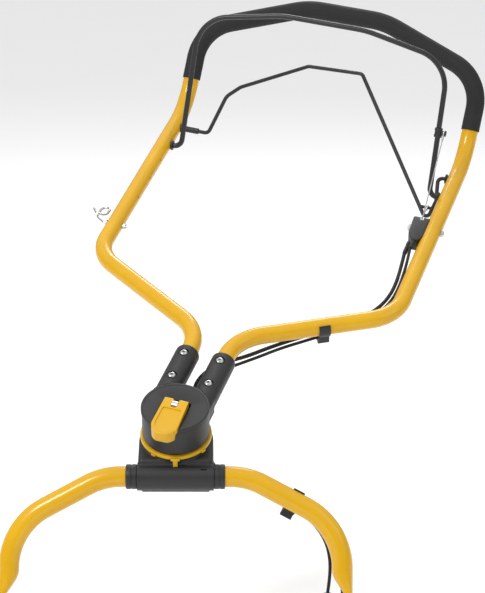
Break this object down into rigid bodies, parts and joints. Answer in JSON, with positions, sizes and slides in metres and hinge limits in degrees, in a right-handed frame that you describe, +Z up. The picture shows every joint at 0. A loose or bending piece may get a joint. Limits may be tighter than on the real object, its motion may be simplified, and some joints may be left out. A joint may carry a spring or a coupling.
{
  "type": "swivelling machine handlebar",
  "caption": "Folding, swivelling handlebar for a walk-behind landscaping machine, with grip, brake and drive bails, cables and a cam-locked hub.",
  "frame": {"origin": "midway between the lower mounting holes in the two flattened leg ends", "axes": "+X across the machine to the operator's left as seen from the front, +Y back to the operator, +Z up"},
  "size_m": [0.698, 0.7831, 0.7867],
  "materials": {
    "yellow_paint": "gloss powder coat over steel tube",
    "yellow_plastic": "moulded yellow plastic",
    "black_plastic": "lightly grained black moulding",
    "black_wire": "black coated steel wire",
    "grip_foam": "matt closed-cell sleeve",
    "cable_jacket": "satin black cable sheath",
    "zinc_steel": "zinc plated steel",
    "chrome_screw": "bright plated steel",
    "bare_cable": "stranded steel cable"
  },
  "bodies": {
    "lower_handle": {"lower_tube": "yellow_paint", "collar_right": "black_plastic", "collar_left": "black_plastic", "lower_clip": "black_plastic", "brake_cable_lower": "cable_jacket", "drive_cable_lower": "cable_jacket", "brake_connector": "black_plastic", "drive_connector": "black_plastic"},
    "swivel_saddle": {"saddle": "black_plastic", "barrel_cap": "black_plastic", "cap_screws": "zinc_steel", "barrel_bush_right": "black_plastic", "barrel_bush_left": "black_plastic", "index_ring": "yellow_plastic", "brake_cable_loop": "cable_jacket", "drive_cable_loop": "cable_jacket"},
    "upper_handle": {"hub_housing": "black_plastic", "hub_cover": "black_plastic", "axle_bolt": "zinc_steel", "disc_springs": "zinc_steel", "axle_washer": "zinc_steel", "axle_nut": "zinc_steel", "detent_ball": "zinc_steel", "detent_spring": "zinc_steel", "upper_tube": "yellow_paint", "grip_sleeve": "grip_foam", "socket_screws": "chrome_screw", "socket_nuts": "zinc_steel", "brake_bush_left": "black_plastic", "brake_bush_right": "black_plastic", "drive_bush_left": "black_plastic", "drive_bush_right": "black_plastic", "drive_spacer": "black_plastic", "cable_bracket": "black_plastic", "bracket_bolt": "zinc_steel", "bracket_nut": "zinc_steel", "brake_ferrule": "black_plastic", "drive_ferrule": "black_plastic", "rope_guide": "chrome_screw", "guide_nuts": "zinc_steel", "upper_clip": "black_plastic", "brake_cable_upper": "cable_jacket", "drive_cable_upper": "cable_jacket"},
    "lever": {"lock_lever": "yellow_plastic", "lever_pin": "zinc_steel"},
    "brake_lever": {"brake_bail": "black_wire", "brake_hook": "black_plastic"},
    "drive_lever": {"drive_bail": "black_wire"},
    "brake_pull": {"brake_wire": "bare_cable"},
    "drive_pull": {"drive_wire": "bare_cable"}
  },
  "joints": [
    {"name": "handle_fold", "type": "hinge", "parent": "lower_handle", "child": "swivel_saddle", "pos_m": [0, 0.05746, 0.21444], "axis": [1, 0, 0], "range_deg": [0, 120]},
    {"name": "handle_swivel", "type": "hinge", "parent": "swivel_saddle", "child": "upper_handle", "pos_m": [0, 0.07573, 0.29357], "axis": [0, -0.4226, 0.9063], "range_deg": [0, 36.6]},
    {"name": "lock_lever_lift", "type": "hinge", "parent": "upper_handle", "child": "lever", "pos_m": [0, 0.06791, 0.31034], "axis": [-0.9494, 0.2846, 0.1327], "range_deg": [0, 80]},
    {"name": "brake_bail_swing", "type": "hinge", "parent": "upper_handle", "child": "brake_lever", "pos_m": [0.18149, 0.57308, 0.52549], "axis": [-0.9494, 0.2846, 0.1327], "range_deg": [0, 28], "stiffness_Nm_per_rad": 2, "springref_deg": -28.65},
    {"name": "drive_bail_swing", "type": "hinge", "parent": "upper_handle", "child": "drive_lever", "pos_m": [0.19656, 0.61438, 0.54475], "axis": [0.9494, -0.2846, -0.1327], "range_deg": [0, 20], "stiffness_Nm_per_rad": 1.5, "springref_deg": -28.65},
    {"name": "brake_wire_turn", "type": "hinge", "parent": "brake_lever", "child": "brake_pull", "pos_m": [0.39032, 0.51317, 0.59423], "axis": [-0.9494, 0.2846, 0.1327], "range_deg": [-11.74, 0]},
    {"name": "drive_wire_turn", "type": "hinge", "parent": "drive_lever", "child": "drive_pull", "pos_m": [0.36937, 0.52551, 0.47813], "axis": [0.9494, -0.2846, -0.1327], "range_deg": [-28.74, 0]}
  ],
  "couplings": [
    {"joint": "brake_wire_turn", "follows": "brake_bail_swing", "ratio": -0.4109},
    {"joint": "drive_wire_turn", "follows": "drive_bail_swing", "ratio": -1.4087}
  ]
}
